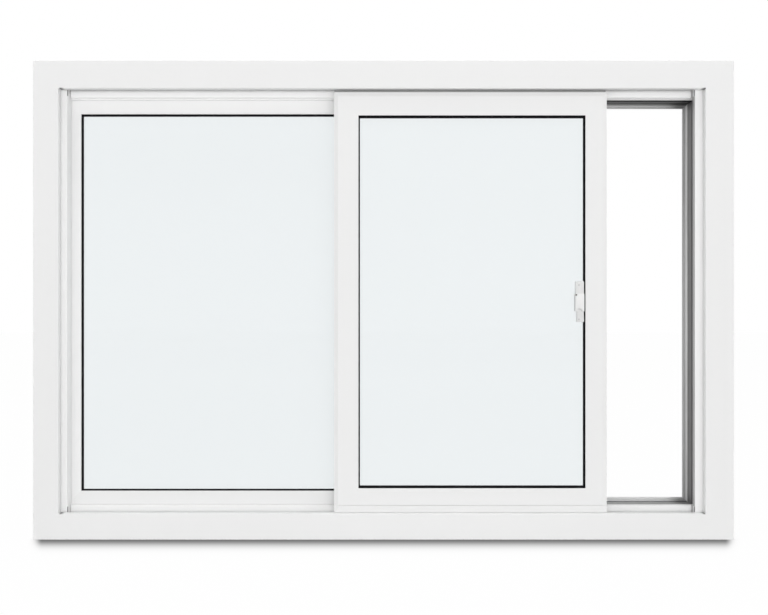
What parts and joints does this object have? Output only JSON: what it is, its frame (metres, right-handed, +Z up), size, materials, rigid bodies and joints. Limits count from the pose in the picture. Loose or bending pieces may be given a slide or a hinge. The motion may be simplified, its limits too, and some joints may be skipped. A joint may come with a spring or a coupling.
{
  "type": "horizontal sliding window",
  "caption": "Double glazed sliding window: a fixed light and a sash that slides in front of it in a white frame with a grey metal outer frame.",
  "frame": {"origin": "middle of the sill's underside, halfway through the frame's depth", "axes": "+X to the right as seen from the room, +Y from the room to the weather side, +Z up"},
  "size_m": [1.2, 0.1, 0.82],
  "materials": {
    "white_frame": "satin white",
    "white_strip": "satin white",
    "white_trim": "satin white",
    "white_latch": "moulded white",
    "grey_outer_frame": "dark grey coated",
    "window_glass": "clear, faint blue green",
    "spacer_bar": "mill",
    "black_gasket": "matt black",
    "roller_nylon": "moulded"
  },
  "bodies": {
    "root": {"frame_head": "white_frame", "frame_sill": "white_frame", "frame_left_jamb": "white_frame", "frame_right_jamb": "white_frame", "fixed_left_stile": "white_frame", "fixed_meeting_stile": "white_frame", "fixed_top_rail": "white_frame", "fixed_bottom_rail": "white_frame", "sash_left_stile": "white_frame", "sash_right_stile": "white_frame", "sash_top_rail": "white_frame", "sash_bottom_rail": "white_frame", "left_jamb_liner": "white_strip", "right_jamb_liner": "white_strip", "head_guide_strip": "white_strip", "sill_running_strip": "white_strip", "sash_interlock": "white_trim", "fixed_interlock": "white_trim", "latch_base": "white_latch", "latch_lever": "white_latch", "outer_head": "grey_outer_frame", "outer_sill": "grey_outer_frame", "outer_left_jamb": "grey_outer_frame", "outer_right_jamb": "grey_outer_frame", "fixed_inner_pane": "window_glass", "fixed_outer_pane": "window_glass", "sash_inner_pane": "window_glass", "sash_outer_pane": "window_glass", "fixed_spacer": "spacer_bar", "sash_spacer": "spacer_bar", "fixed_inner_gasket": "black_gasket", "fixed_outer_gasket": "black_gasket", "sash_inner_gasket": "black_gasket", "sash_outer_gasket": "black_gasket", "left_roller": "roller_nylon", "right_roller": "roller_nylon"}
  },
  "joints": []
}
